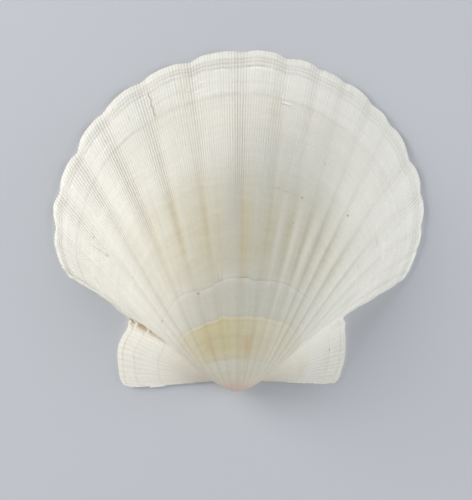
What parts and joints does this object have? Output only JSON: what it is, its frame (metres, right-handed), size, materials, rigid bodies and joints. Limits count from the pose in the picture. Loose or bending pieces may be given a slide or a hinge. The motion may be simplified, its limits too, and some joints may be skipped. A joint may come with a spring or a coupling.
{
  "type": "scallop shell",
  "caption": "Convex valve of a scallop: a ribbed, fan-shaped shallow dome with two flat ears at the hinge, open underneath.",
  "frame": {"origin": "middle of the shell's width and length, on the plane that its rim and hinge rest on", "axes": "+X along the hinge line, towards the plain ear; +Y from the beak to the far margin; +Z out of the convex back, up as it lies"},
  "size_m": [0.1308, 0.119, 0.0301],
  "materials": {
    "shell": "satin"
  },
  "bodies": {
    "root": {"scallop_valve": "shell"}
  },
  "joints": []
}
